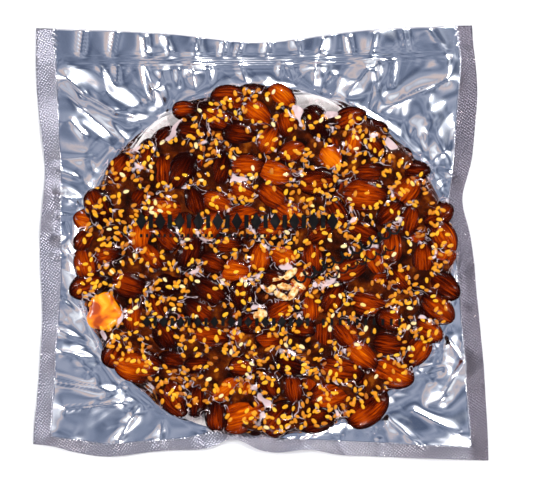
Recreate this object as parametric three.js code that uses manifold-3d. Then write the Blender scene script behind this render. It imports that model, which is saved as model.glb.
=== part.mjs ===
// Almond and sesame brittle, a round cake of caramel-bound nuts, sealed under vacuum in a flat pouch.
// The pouch is a silver laminate back and a clear front film, welded round the rim. It lies on its back.
// Millimetres and degrees. +Z is up, +Y runs to the pouch's mouth. The origin is under the pouch's middle.
import * as THREE from "three";
import { mergeGeometries, mergeVertices } from "three/addons/utils/BufferGeometryUtils.js";
import Module from "manifold-3d";

// Pouch: its corners as it lies, drawn in by the vacuum from a flat 250 x 240 bag.
const BOTTOM_LEFT = [-125, -110.5];
const BOTTOM_RIGHT = [125, -119.5];
const TOP_RIGHT = [116, 119.5];
const TOP_LEFT = [-123.5, 118];
const FILM = 0.5; // thickness of each film, heavier than the real 0.1
const GAP = 0.3; // between the two films
const CORNER_HOLD = 20; // length beside a corner in which the edge isn't drawn in

// Each side runs anticlockwise from its start. A pull is [way along, inward depth, spread].
const SIDES = [
  { start: BOTTOM_RIGHT, end: TOP_RIGHT, pulls: [[144, 5, 11], [124, 4.5, 38], [204, -2, 16]] },
  { start: TOP_RIGHT, end: TOP_LEFT, pulls: [[125, 4.5, 52], [115, 4.7, 25]] },
  { start: TOP_LEFT, end: BOTTOM_LEFT, pulls: [[78, 5.2, 22], [160, 4.4, 33]] },
  { start: BOTTOM_LEFT, end: BOTTOM_RIGHT, pulls: [[39, -5.4, 18], [110, 6.8, 8], [151, 2.7, 8]] },
];

// Brittle: an oval cake with a nibbled rim. A bite is [direction, depth, spread].
const CAKE = { x: 2.5, y: -10.5, halfWidth: 104, halfHeight: 96.5, caramel: 8.4, rim: 5.4 };
const BITES = [[75, 7, 6], [125, 4.5, 8], [-46, 3, 4], [-110, 4.5, 6], [-136, 4, 7], [-57, -3, 4]];

const LUMPINESS = { height: 0.7, acrossX: 9, acrossY: 11, shoulder: 0.1 }; // of the caramel's top

// The wafer under the cake ends inside the rim, save where it peeks out: [direction, spread].
const WAFER = { inset: 6.5, insetInPeeks: 1.5, peeks: [[125, 8], [-111, 8], [73, 7]] };

// Almonds: each is [x, y, turn, length] where one stands out. A rule adds a row of them along the rim,
// and then fills in between. Width and taper are parts of the length.
const ALMOND = { length: 22.5, width: 0.65, height: 7.6, top: 12.4, lower: 1.6, taper: 0.26 };
const APART = { onRim: 12.2, inside: 12.4 };
const RIM_ROW = { places: 44, inset: 6.4 };
const RULE = { shortest: 0.82, longer: 0.22, swing: 50 }; // parts of the length, and degrees
const PLACED_ALMONDS = [
  [-15.5, 77.5, -5, 25], [11.5, 79, -40, 18.5], [-36.5, 60.5, -10, 20.5], [-10.5, 59, -10, 23.5],
  [18, 50.5, 25, 19.5], [-22, 40, 70, 23.5], [7, 25, -35, 22], [30.5, 65, -60, 21.5],
  [39, 45.5, -45, 18.5], [48.5, 67, 25, 20], [50.5, 55, 80, 16], [62.5, 51.5, -50, 16.5],
  [59.5, 38, 0, 20.5], [57, 26, -5, 28.5], [84, 39.5, 0, 17.5], [80, 29, 50, 22.5],
  [31, 32.5, 0, 27], [-41, 72.5, 0, 15], [-62, 48.5, 80, 17.5], [-76, 40, 60, 21.5],
  [-53.5, 39.5, 90, 23.5], [-43, 39.5, 60, 25], [-87.5, 19, -65, 23], [-51.5, 17.5, 0, 27],
  [-59.5, -7, -50, 21.5], [-72, -23, -20, 24.5], [-45.5, -22, 0, 27], [-83.5, -6.5, 15, 16.5],
  [-56, -37, -65, 22.5], [-51, -51, -55, 23.5], [-10.5, -29, -90, 21.5], [13, -7, -20, 19.5],
  [-9, 14.5, 15, 22.5], [11.5, -36.5, 30, 21.5], [49.5, -14.5, 25, 22.5], [77.5, -21, -50, 22.5],
  [60, -33.5, -15, 24.5], [56, 5.5, -25, 22.5], [71.5, -1, 90, 21.5], [39.5, -30.5, 60, 22.5],
  [88.5, -8, 90, 22.5], [33.5, 6, 30, 22.5], [-27.5, -50.5, -10, 23.5], [17, -67.5, -20, 23.5],
  [-9.5, -67.5, 0, 17.5], [-9, -93, 20, 28.5], [10, -95, 50, 24.5], [5, -78, -60, 21.5],
  [4, -53.5, 0, 21.5], [-19, -79, 40, 21.5], [-33, -66, 0, 22.5], [-66.5, -66.5, -10, 27.5],
  [-47.5, -84.5, -60, 23.5], [47, -50.5, -50, 23.5], [71, -70, -25, 27.5], [44, -69, -10, 27],
  [39.5, -83, 15, 28.5], [58, -90, 35, 27.5], [30.5, -95.5, 10, 23.5], [71.5, -56, -8, 25.5],
];
const SPIRAL_STEPS = 900; // places that the rule tries for almonds, on a sunflower spiral
const SEED = { length: 3.4, width: 2.2, height: 1.7, count: 32, sink: 0.25, inside: 11, spiralTurn: 2.4 };
const LUMP = { x: -85.5, y: -37.5, length: 21, width: 17, height: 8, top: 11.5 }; // clear amber caramel
const RANDOM_SEED = 7612;

// Flange: the two films round the cake. A fold is [x1, y1, x2, y2, spread, height], a ridge from end to end.
const FLANGE = { base: 0.7, flat: 1, raised: 9, foldHeight: 0.8 }; // flat and raised: mm from the rim
const COLLAR = { height: 3.2, fall: 9, start: 0.3, end: 3.3 }; // start and end: mm from the wafer's rim
const FOLDS = [
  [-107, 90, -58, 67, 5, 4.5], [-110, 60, -95, 52, 9, 3], [-55, 98, -55, 74, 5, 4],
  [-36, 98, -34, 84, 5, 3.5], [29, 98, 29, 80, 5, 4], [44, 78, 58, 96, 5, 5],
  [62, 70, 104, 90, 5, 4.5], [90, 74, 100, 50, 6, 4.5], [110, 24, 112, 0, 6, -1],
  [101, -50, 112, -66, 5, 4], [112, -66, 99, -84, 5, 4], [82, -106, 112, -102, 8, 5],
  [107, -24, 118, -12, 5, 3.5], [-112, 24, -97, 21, 5, 4], [-113, 7, -98, 8, 5, 4],
  [-110, -60, -88, -71, 6, 4], [-107, -92, -66, -86, 8, 4.5], [-112, -104, -104, -106, 5, 3],
  [20, -112, 26, -106, 6, 3], [-22, -112, -20, -104, 5, 3.5], [-44, 112, -44, 102, 8, 3.5],
  [-20, 110, 30, 110, 8, 3], [90, 114, 100, 100, 6, 3], [60, 112, 70, 112, 8, 2.5],
];

// Faces: steps round the pouch, a multiple of eight, so that its corners fall on steps.
const STEPS_AROUND = 72;
const RINGS_INSIDE = [0.5, 0.9, 0.97];
const RINGS_UNDER = [0.92, 0.97]; // where the wafer ends and the collar rises
const RINGS_OUTSIDE = [1.05, 1.2, 1.45, 1.75];
const EDGE_RING = 2;
const NUT_FACES = { almond: [7, 4], lump: [8, 4], seed: [5, 3] }; // each is [round, along]

const wasm = await Module();
wasm.setup();

const radians = THREE.MathUtils.degToRad;
const bell = (distance, spread) => Math.exp(-0.5 * (distance / spread) ** 2);

// Draws from 0 to 1, always the same row of them.
function drawer(seed) {
  let state = seed;
  return () => {
    state = (Math.imul(state, 1664525) + 1013904223) >>> 0;
    return state / 2 ** 32;
  };
}

// Sum of bells round the compass: each is [direction, height, spread] in degrees.
function bells(angle, rows) {
  const degrees = THREE.MathUtils.radToDeg(angle);
  const turned = (direction) => ((degrees - direction + 540) % 360) - 180;
  return rows.reduce((sum, [direction, height, spread]) => sum + height * bell(turned(direction), spread), 0);
}

// The cake's rim in a direction: an oval less its bites.
function rimPoint(angle, bites = BITES, inset = 0) {
  const bitten = bells(angle, bites) + inset;
  const x = (CAKE.halfWidth - bitten) * Math.cos(angle);
  const y = (CAKE.halfHeight - bitten) * Math.sin(angle);
  return new THREE.Vector2(CAKE.x + x, CAKE.y + y);
}

const directionOf = (x, y) => Math.atan2((y - CAKE.y) / CAKE.halfHeight, (x - CAKE.x) / CAKE.halfWidth);

// How far a place is inside the rim, in mm. Without bites it is the distance inside the whole oval.
function insideRim(x, y, bites = BITES) {
  const reach = rimPoint(directionOf(x, y), bites).distanceTo(new THREE.Vector2(CAKE.x, CAKE.y));
  return reach - Math.hypot(x - CAKE.x, y - CAKE.y);
}

// How far a place is outside the wafer, in mm.
function outsideWafer(x, y) {
  const peeks = WAFER.peeks.map(([direction, spread]) => [direction, 1, spread]);
  const peek = Math.min(1, bells(directionOf(x, y), peeks));
  return THREE.MathUtils.lerp(WAFER.inset, WAFER.insetInPeeks, peek) - insideRim(x, y, []);
}

// The pouch's edge in a direction: rays from the middle of a square reach each side's straight line,
// which its pulls then draw in.
function edgePoint(angle) {
  const quarter = Math.PI / 2;
  const fromCorner = angle + quarter / 2;
  const turns = Math.floor(fromCorner / quarter + 1e-9);
  const side = SIDES[((turns % 4) + 4) % 4];
  const along = (1 + Math.tan(fromCorner - turns * quarter - quarter / 2)) / 2;
  const start = new THREE.Vector2(...side.start);
  const run = new THREE.Vector2(...side.end).sub(start);
  const length = run.length();
  const way = along * length;
  const held = Math.min(1, way / CORNER_HOLD, (length - way) / CORNER_HOLD);
  const depths = side.pulls.map(([at, depth, spread]) => depth * bell(way - at, spread));
  const inward = new THREE.Vector2(-run.y, run.x).divideScalar(length);
  const depth = held * depths.reduce((sum, pull) => sum + pull, 0);
  return start.addScaledVector(run, along).addScaledVector(inward, depth);
}

// Ring 0 is the cake's middle, 1 its rim and 2 the pouch's edge.
function planPoint(angle, ring) {
  const rim = rimPoint(angle);
  if (ring <= 1) return rim.sub(new THREE.Vector2(CAKE.x, CAKE.y)).multiplyScalar(ring).add(CAKE);
  return rim.lerp(edgePoint(angle), ring - 1);
}

function distanceToLine(point, x1, y1, x2, y2) {
  const start = new THREE.Vector2(x1, y1);
  const run = new THREE.Vector2(x2, y2).sub(start);
  const along = THREE.MathUtils.clamp(point.clone().sub(start).dot(run) / run.lengthSq(), 0, 1);
  return point.distanceTo(start.addScaledVector(run, along));
}

// Underside of the back film: flat under the wafer, drawn up round it as a collar that falls away
// outwards, and lifted by the folds in the flange.
function flangeHeight(point) {
  const outside = -insideRim(point.x, point.y, []);
  const free = THREE.MathUtils.smoothstep(outside, FLANGE.flat, FLANGE.raised);
  const drawnUp = THREE.MathUtils.smoothstep(outsideWafer(point.x, point.y), COLLAR.start, COLLAR.end);
  const collar = COLLAR.height * drawnUp * Math.exp(-Math.max(0, outside) / COLLAR.fall);
  const folds = FOLDS.map(([x1, y1, x2, y2, spread, height]) => {
    return FLANGE.foldHeight * height * bell(distanceToLine(point, x1, y1, x2, y2), spread);
  });
  const lift = folds.reduce((sum, fold) => sum + fold, FLANGE.base);
  return collar + free * Math.max(0, lift);
}

// Top of the caramel under the front film: level with soft lumps, and rounded off at the rim.
function caramelHeight(point, ring) {
  const { height, acrossX, acrossY } = LUMPINESS;
  const lumps = height * Math.sin(point.x / acrossX) * Math.cos(point.y / acrossY);
  const shoulder = THREE.MathUtils.smoothstep(1 - ring, 0, LUMPINESS.shoulder);
  return THREE.MathUtils.lerp(CAKE.rim, CAKE.caramel + lumps, shoulder);
}

// A closed sheet: two turned faces and the rim between them, where a point is (ring, face), face 0 the
// lower and 1 the upper one. Each vertex then moves to its place in the pouch. Both faces are split
// into triangles alike, so that films that lie on each other stay apart in the folds.
function sheet(lowerRings, upperRings, heightOf) {
  const turned = (points) => {
    return new THREE.LatheGeometry(points.map((point) => new THREE.Vector2(...point)), STEPS_AROUND);
  };
  const lower = turned([0, ...lowerRings, EDGE_RING].map((ring) => [ring, 0]));
  const upper = turned([0, ...upperRings, EDGE_RING].map((ring) => [ring, 1]));
  upper.index.array.reverse();
  const rim = turned([[EDGE_RING, 0], [EDGE_RING, 1]]);
  const geometry = mergeGeometries([lower, upper, rim]).rotateX(Math.PI / 2);
  const position = geometry.getAttribute("position");
  for (let i = 0; i < position.count; i++) {
    const [x, y, face] = [position.getX(i), position.getY(i), Math.round(position.getZ(i))];
    const ring = Math.hypot(x, y);
    const point = planPoint(Math.atan2(y, x), ring);
    position.setXYZ(i, point.x, point.y, heightOf(point, ring, face));
  }
  return geometry;
}

function solid(geometry) {
  geometry.deleteAttribute("normal");
  geometry.deleteAttribute("uv");
  const merged = mergeVertices(geometry, 1e-3);
  const vertProperties = merged.getAttribute("position").array;
  const triVerts = new Uint32Array(merged.index.array);
  return new wasm.Manifold(new wasm.Mesh({ numProp: 3, vertProperties, triVerts }));
}

function mesh(name, body, material) {
  const { numProp, vertProperties, triVerts } = body.getMesh();
  const geometry = new THREE.BufferGeometry();
  const count = vertProperties.length / numProp;
  const positions = new Float32Array(count * 3);
  for (let i = 0; i < count; i++) {
    positions.set(vertProperties.subarray(i * numProp, i * numProp + 3), i * 3);
  }
  geometry.setAttribute("position", new THREE.BufferAttribute(positions, 3));
  geometry.setIndex(new THREE.BufferAttribute(triVerts, 1));
  const made = new THREE.Mesh(geometry, material);
  made.name = name;
  return made;
}

// A nut: a ball drawn out along X, narrower and lower towards its tip.
function nutGeometry({ length, width, height, taper = 0 }, [around, along]) {
  const geometry = new THREE.SphereGeometry(1, around, along).rotateZ(-Math.PI / 2);
  const position = geometry.getAttribute("position");
  for (let i = 0; i < position.count; i++) {
    const x = position.getX(i);
    const slim = 1 - taper * x;
    position.setXYZ(i, (x * length) / 2, (position.getY(i) * slim * width) / 2,
      (position.getZ(i) * slim * height) / 2);
  }
  return geometry;
}

// Places of a sunflower spiral over the cake.
function spiralPlace(step, count, turn, halfWidth, halfHeight) {
  const reach = Math.sqrt((step + 0.5) / count);
  const x = CAKE.x + halfWidth * reach * Math.cos(step * turn);
  const y = CAKE.y + halfHeight * reach * Math.sin(step * turn);
  return new THREE.Vector2(x, y);
}

// The placed almonds first, then a row along the rim, then one at each spiral place, where it is clear
// of all before it. The added ones are turned along their nearest neighbour's flank.
function almondLayout(draw) {
  const almonds = PLACED_ALMONDS.map(([x, y, turn, length]) => ({ x, y, turn, length }));
  const taken = [...almonds, LUMP];
  const addWhereClear = (place, apart) => {
    const gaps = taken.map((other) => place.distanceTo(other));
    if (Math.min(...gaps) < apart) return;
    const nearest = taken[gaps.indexOf(Math.min(...gaps))];
    const across = THREE.MathUtils.radToDeg(Math.atan2(nearest.y - place.y, nearest.x - place.x)) + 90;
    const turn = across + RULE.swing * (draw() - 0.5);
    const length = ALMOND.length * (RULE.shortest + RULE.longer * draw());
    almonds.push({ x: place.x, y: place.y, turn, length });
    taken.push(place);
  };
  for (let number = 0; number < RIM_ROW.places; number++) {
    addWhereClear(rimPoint((2 * Math.PI * number) / RIM_ROW.places, BITES, RIM_ROW.inset), APART.onRim);
  }
  const goldenAngle = Math.PI * (3 - Math.sqrt(5));
  for (let step = 0; step < SPIRAL_STEPS; step++) {
    const place = spiralPlace(step, SPIRAL_STEPS, goldenAngle, CAKE.halfWidth, CAKE.halfHeight);
    if (insideRim(place.x, place.y) > RIM_ROW.inset) addWhereClear(place, APART.inside);
  }
  return almonds.map((almond) => ({ ...almond, top: ALMOND.top - ALMOND.lower * draw() }));
}

function almondSolid({ x, y, turn, length, top }) {
  const width = length * ALMOND.width;
  const size = { length, width, height: ALMOND.height, taper: ALMOND.taper };
  const geometry = nutGeometry(size, NUT_FACES.almond).rotateZ(radians(turn));
  return solid(geometry.translate(x, y, top - ALMOND.height / 2));
}

// Height of an almond's back over a place, or nothing beside it.
function almondHeight(almond, x, y) {
  const away = new THREE.Vector2(x - almond.x, y - almond.y);
  away.rotateAround(new THREE.Vector2(), -radians(almond.turn));
  const along = away.x / (almond.length / 2);
  const across = away.y / ((almond.length * ALMOND.width) / 2) / (1 - ALMOND.taper * along);
  const rise = Math.sqrt(Math.max(0, 1 - along ** 2 - across ** 2));
  return rise > 0 ? almond.top - (ALMOND.height / 2) * (1 - rise) : 0;
}

// Sesame seeds on the almonds and between them, spread by the same sort of spiral.
function seedSolid(number, almonds, draw) {
  const { inside, count, spiralTurn } = SEED;
  const { x, y } = spiralPlace(number, count, spiralTurn, CAKE.halfWidth - inside, CAKE.halfHeight - inside);
  const caramel = caramelHeight(new THREE.Vector2(x, y), 0);
  const ground = Math.max(caramel, ...almonds.map((almond) => almondHeight(almond, x, y)));
  const geometry = nutGeometry(SEED, NUT_FACES.seed).rotateZ(Math.PI * draw());
  return solid(geometry.translate(x, y, ground - SEED.sink));
}

const silver = new THREE.MeshStandardMaterial({ color: 0x9aa3b5, roughness: 0.3, metalness: 1 });
const packed = new THREE.MeshStandardMaterial({ color: 0x7a2c08, roughness: 0.25, metalness: 0 });

const flangeRings = [...RINGS_UNDER, ...RINGS_OUTSIDE];
const backFilm = solid(
  sheet(flangeRings, flangeRings, (point, ring, face) => flangeHeight(point) + face * FILM),
);
const filmTop = (point) => flangeHeight(point) + FILM;
const frontSheet = solid(
  sheet(flangeRings, [...RINGS_INSIDE, 1, ...RINGS_OUTSIDE], (point, ring, face) => {
    const underside = filmTop(point) + GAP;
    if (face === 0) return underside;
    return ring <= 1 ? caramelHeight(point, ring) : underside + FILM;
  }),
);

// What lies lower than the middle of the front film: a nut at the rim is cut off there.
const below = solid(
  sheet(flangeRings, flangeRings, (point, ring, face) => {
    return face === 0 ? -ALMOND.length : filmTop(point) + GAP + FILM / 2;
  }),
);

const draw = drawer(RANDOM_SEED);
const almonds = almondLayout(draw);
const nuts = almonds.map((almond) => almondSolid(almond).subtract(below));
const lumpShape = nutGeometry(LUMP, NUT_FACES.lump);
const lump = solid(lumpShape.translate(LUMP.x, LUMP.y, LUMP.top - LUMP.height / 2));
const seeds = Array.from({ length: SEED.count }, (_, number) => seedSolid(number, almonds, draw));
const filledFront = [...nuts, lump, ...seeds].reduce((body, piece) => body.add(piece), frontSheet);

const pouch = new THREE.Group();
pouch.name = "vacuum_packed_brittle";
pouch.add(mesh("silver_back_film", backFilm, silver));
pouch.add(mesh("clear_front_with_brittle", filledFront, packed));

export default pouch;
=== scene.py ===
"""Almond and sesame brittle in a vacuum pouch, seen from straight above.

The real thing, from the table up: a silver laminate film lies flat, a thin white wafer lies on it, the
cake of almonds and sesame seeds sits in dark caramel on the wafer, and a clear film is drawn down over
all of it by the vacuum. The two films are welded together round the pouch's sides.

Shapes are worked out in millimetres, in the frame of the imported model, and become metres when a mesh is
made. The pouch is a map of (direction, ring): ring 0 is the cake's middle, 1 its rim, 2 the pouch's edge.
"""
import math

import bpy
import numpy as np
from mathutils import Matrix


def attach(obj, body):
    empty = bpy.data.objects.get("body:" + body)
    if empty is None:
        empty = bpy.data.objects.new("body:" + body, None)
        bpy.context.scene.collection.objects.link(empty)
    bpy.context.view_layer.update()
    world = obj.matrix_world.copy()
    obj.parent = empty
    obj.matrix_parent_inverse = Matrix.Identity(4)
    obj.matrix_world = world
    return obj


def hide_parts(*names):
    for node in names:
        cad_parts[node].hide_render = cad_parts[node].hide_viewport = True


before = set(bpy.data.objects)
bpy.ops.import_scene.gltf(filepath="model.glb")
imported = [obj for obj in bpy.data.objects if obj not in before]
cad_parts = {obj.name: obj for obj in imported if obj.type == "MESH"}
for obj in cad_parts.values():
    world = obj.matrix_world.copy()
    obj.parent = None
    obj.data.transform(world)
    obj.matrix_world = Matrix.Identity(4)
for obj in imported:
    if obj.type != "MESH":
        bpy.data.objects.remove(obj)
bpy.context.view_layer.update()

# ---------------------------------------------------------------------------------------------- studio
# A pale table, four lamps and a room of grey, blue and warm paper around them. The camera looks
# straight down from 0.9 m, and its picture is 294 mm wide at the table, as the photograph's is.
PICTURE_WIDTH = 294.25    # mm of table across the picture
PICTURE_MIDDLE = (3.6, -3.9)
CAMERA_HEIGHT = 900
SENSOR = 36


def linear(code):
    """An sRGB hex colour as linear red, green, blue and 1: ((c + 0.055) / 1.055) ** 2.4 above 0.04."""
    channels = np.array([int(code[i:i + 2], 16) for i in (1, 3, 5)]) / 255
    low, high = channels / 12.92, ((channels + 0.055) / 1.055) ** 2.4
    return (*np.where(channels <= 0.04045, low, high).tolist(), 1.0)


def add(owner, kind, inputs=None, stops=None, **settings):
    """Adds a node to a material or world. Inputs are values or other nodes' outputs, by socket."""
    tree = owner.node_tree
    node = tree.nodes.new(kind)
    for name, value in settings.items():
        setattr(node, name, value)
    for socket, value in (inputs or {}).items():
        if isinstance(value, bpy.types.NodeSocket):
            tree.links.new(value, node.inputs[socket])
        else:
            node.inputs[socket].default_value = value
    if stops:
        elements = node.color_ramp.elements
        while len(elements) < len(stops):
            elements.new(0.5)
        for element, (position, code) in zip(elements, stops):
            element.position = position
            element.color = linear(code)
    return node


camera = bpy.data.objects.new("camera", bpy.data.cameras.new("camera"))
bpy.context.scene.collection.objects.link(camera)
camera.data.sensor_width = SENSOR
camera.data.lens = SENSOR * CAMERA_HEIGHT / PICTURE_WIDTH
camera.location = (PICTURE_MIDDLE[0] / 1000, PICTURE_MIDDLE[1] / 1000, CAMERA_HEIGHT / 1000)
bpy.context.scene.camera = camera

bpy.ops.mesh.primitive_plane_add(size=4)
table = bpy.context.object
table.name = "table"
painted = bpy.data.materials.new("pale_table")
painted.use_nodes = True
painted.node_tree.nodes["Principled BSDF"].inputs["Base Color"].default_value = linear("#F4F4F4")
painted.node_tree.nodes["Principled BSDF"].inputs["Roughness"].default_value = 0.9
table.data.materials.append(painted)
table.location.z = -0.0002

# Lamps: name, place, size in metres, brightness of the cloth, colour. Watts = brightness x pi x area.
# Round each lamp the room's walls are lit too: a soft patch, GLOW x exp(-(angle / GLOW_SPREAD)^2 / 2).
LAMPS = [
    ("lamp_back", (0.35, 0.8, 0.95), (0.3, 0.13), 60, "#FFFFFF"),
    ("lamp_left", (-0.9, 0.15, 0.75), (0.12, 0.3), 60, "#FFFFFF"),
    ("lamp_front", (0.3, -0.85, 0.8), (0.25, 0.1), 50, "#FFF8F0"),
    ("lamp_right", (0.85, 0.05, 0.7), (0.08, 0.25), 50, "#FFFFFF"),
]
GLOW, GLOW_SPREAD = 2.6, 0.13

room = bpy.data.worlds.new("paper_room")
room.use_nodes = True
bpy.context.scene.world = room
sky = add(room, "ShaderNodeTexCoord")
glow = None
for name, place, size, brightness, colour in LAMPS:
    lamp = bpy.data.objects.new(name, bpy.data.lights.new(name, "AREA"))
    bpy.context.scene.collection.objects.link(lamp)
    lamp.data.shape = "RECTANGLE"
    lamp.data.size, lamp.data.size_y = size
    lamp.data.energy = brightness * math.pi * size[0] * size[1]
    lamp.data.color = linear(colour)[:3]
    lamp.location = place
    direction = np.array(place) / np.linalg.norm(place)
    lamp.rotation_euler = (math.acos(direction[2]), 0, math.atan2(direction[1], direction[0]) + math.pi / 2)
    near = add(room, "ShaderNodeVectorMath", {0: sky.outputs["Generated"], 1: direction.tolist()}, operation="DOT_PRODUCT")
    fall = add(room, "ShaderNodeMath", {0: near.outputs["Value"], 1: GLOW_SPREAD ** -2, 2: -GLOW_SPREAD ** -2},
               operation="MULTIPLY_ADD")
    patch = add(room, "ShaderNodeMath", {0: fall.outputs["Value"]}, operation="EXPONENT")
    glow = add(room, "ShaderNodeMath", {0: patch.outputs["Value"], 1: GLOW, 2: glow.outputs["Value"] if glow else 0},
               operation="MULTIPLY_ADD")

patches = add(room, "ShaderNodeTexNoise", {"Vector": sky.outputs["Generated"], "Scale": 1.7, "Detail": 1.0})
papers = add(room, "ShaderNodeValToRGB", {"Fac": patches.outputs["Fac"]}, stops=[
    (0.33, "#4E5A74"), (0.43, "#848EA5"), (0.50, "#AEB2C3"), (0.53, "#E0CBC4"), (0.56, "#CBB8B5"),
    (0.585, "#A6ABBC"), (0.66, "#DEE0E9"), (0.73, "#FFFFFF")])
background = room.node_tree.nodes["Background"]
room.node_tree.links.new(papers.outputs["Color"], background.inputs["Color"])
background.inputs["Strength"].default_value = 1.0
lit_walls = add(room, "ShaderNodeBackground", {"Strength": glow.outputs["Value"]})
both = add(room, "ShaderNodeAddShader", {0: background.outputs["Background"], 1: lit_walls.outputs["Background"]})
room.node_tree.links.new(both.outputs["Shader"], room.node_tree.nodes["World Output"].inputs["Surface"])
bpy.context.scene.view_settings.view_transform = "Standard"

# --------------------------------------------------------------------------------- plan of the pouch
# The pouch is a flat 250 x 240 mm bag with three factory welds and one machine weld near its mouth.
# The vacuum draws its sides in: each side is a straight line with inward pulls [way along, depth, spread].
CORNERS = {"bottom_left": (-125, -110.5), "bottom_right": (125, -119.5),
           "top_right": (116, 119.5), "top_left": (-123.5, 118)}
SIDES = [
    ("bottom_right", "top_right", [(144, 5, 11), (124, 4.5, 38), (204, -2, 16)]),
    ("top_right", "top_left", [(125, 4.5, 52), (115, 4.7, 25)]),
    ("top_left", "bottom_left", [(78, 5.2, 22), (160, 4.4, 33)]),
    ("bottom_left", "bottom_right", [(39, -5.4, 18), (110, 6.8, 8), (151, 2.7, 8)]),
]
CORNER_HOLD = 20
CAKE_MIDDLE = np.array([2.5, -10.5])
CAKE_HALF = np.array([104, 96.5])
BITES = [(75, 7, 6), (125, 4.5, 8), (-46, 3, 4), (-110, 4.5, 6), (-136, 4, 7), (-57, -3, 4)]
WAFER_INSET = 6.5
WAFER_PEEKS = [(125, 8), (-111, 8), (73, 7)]      # [direction, spread]


def bell(distance, spread):
    """exp(-(distance / spread)^2 / 2)"""
    return np.exp(-0.5 * (distance / spread) ** 2)


def smooth(value, low, high):
    """3 t^2 - 2 t^3, with t going from 0 to 1 between low and high."""
    t = np.clip((value - low) / (high - low), 0, 1)
    return t * t * (3 - 2 * t)


def rim_radii(angle):
    """The cake's half sizes in a direction: an oval's, less a bell for each bite out of the rim."""
    degrees = np.degrees(angle)
    bitten = sum(depth * bell((degrees - way + 540) % 360 - 180, spread) for way, depth, spread in BITES)
    return CAKE_HALF[0] - bitten, CAKE_HALF[1] - bitten


def rim_points(angle):
    """middle + (a cos, b sin) of the direction, with a and b from rim_radii."""
    across, up = rim_radii(angle)
    return np.stack([across * np.cos(angle), up * np.sin(angle)], -1) + CAKE_MIDDLE


def outside_rim(points, bitten=1):
    """How far places are outside the rim, in mm, measured along the ray from the cake's middle.
    With bitten 0 it is the distance outside the whole oval, without its bites."""
    away = points - CAKE_MIDDLE
    angle = np.arctan2(away[..., 1] / CAKE_HALF[1], away[..., 0] / CAKE_HALF[0])
    oval = CAKE_HALF * np.stack([np.cos(angle), np.sin(angle)], -1)
    rim = bitten * (rim_points(angle) - CAKE_MIDDLE) + (1 - bitten) * oval
    return np.hypot(away[..., 0], away[..., 1]) - np.linalg.norm(rim, axis=-1)


def wafer_peeks(points):
    """1 in the directions where the wafer peeks out, and 0 away from them."""
    away = (points - CAKE_MIDDLE) / CAKE_HALF
    degrees = np.degrees(np.arctan2(away[..., 1], away[..., 0]))
    return np.minimum(1, sum(bell((degrees - way + 540) % 360 - 180, spread) for way, spread in WAFER_PEEKS))


def outside_wafer(points):
    """How far places are outside the wafer, whose rim keeps WAFER_INSET inside the oval, save where
    it peeks out."""
    return outside_rim(points, bitten=0) + WAFER_INSET - (WAFER_INSET - 1.5) * wafer_peeks(points)


def side_points(number, along):
    """One side: its straight line at along (0 to 1), moved inwards by the sum of its pulls."""
    start_name, end_name, pulls = SIDES[number]
    start, end = np.array(CORNERS[start_name]), np.array(CORNERS[end_name])
    length = np.linalg.norm(end - start)
    way = along * length
    held = np.clip(np.minimum(way, length - way) / CORNER_HOLD, 0, 1)
    depth = held * sum(deep * bell(way - at, spread) for at, deep, spread in pulls)
    inward = np.array([start[1] - end[1], end[0] - start[0]]) / length
    return start + (end - start) * along[..., None] + inward * depth[..., None]


def edge_points(angle):
    """The pouch's edge in a direction: along = (1 + tan(angle from the side's middle)) / 2."""
    from_corner = angle + math.pi / 4
    turns = np.floor(from_corner / (math.pi / 2) + 1e-9)
    along = (1 + np.tan(from_corner - turns * math.pi / 2 - math.pi / 4)) / 2
    sides = np.stack([side_points(number, along) for number in range(4)])
    return np.take_along_axis(sides, (turns.astype(int) % 4)[None, ..., None], 0)[0]


def plan_points(angle, ring):
    """middle + ring (rim - middle) up to ring 1, then rim + (ring - 1) (edge - rim)."""
    rim = rim_points(angle)
    ring = ring[..., None]
    inner = CAKE_MIDDLE + ring * (rim - CAKE_MIDDLE)
    return np.where(ring <= 1, inner, rim + (ring - 1) * (edge_points(angle) - rim))


# ---------------------------------------------------------------------------------------- film folds
# Folds that the vacuum leaves in both films: a few broad swells, and many narrow creases that run
# from the cake's rim to the welds. Each is [x1, y1, x2, y2, spread, height], a ridge from end to end.
SWELLS = [
    (-107, 90, -58, 67, 5, 4.5), (-110, 60, -95, 52, 9, 3), (-55, 98, -55, 74, 5, 4),
    (-36, 98, -34, 84, 5, 3.5), (29, 98, 29, 80, 5, 4), (44, 78, 58, 96, 5, 5),
    (62, 70, 104, 90, 5, 4.5), (90, 74, 100, 50, 6, 4.5), (110, 24, 112, 0, 6, -1),
    (101, -50, 112, -66, 5, 4), (112, -66, 99, -84, 5, 4), (82, -106, 112, -102, 8, 5),
    (107, -24, 118, -12, 5, 3.5), (-112, 24, -97, 21, 5, 4), (-113, 7, -98, 8, 5, 4),
    (-110, -60, -88, -71, 6, 4), (-107, -92, -66, -86, 8, 4.5), (-112, -104, -104, -106, 5, 3),
    (20, -112, 26, -106, 6, 3), (-22, -112, -20, -104, 5, 3.5), (-44, 112, -44, 102, 8, 3.5),
    (-20, 110, 30, 110, 8, 3), (90, 114, 100, 100, 6, 3), (60, 112, 70, 112, 8, 2.5),
]
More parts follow.
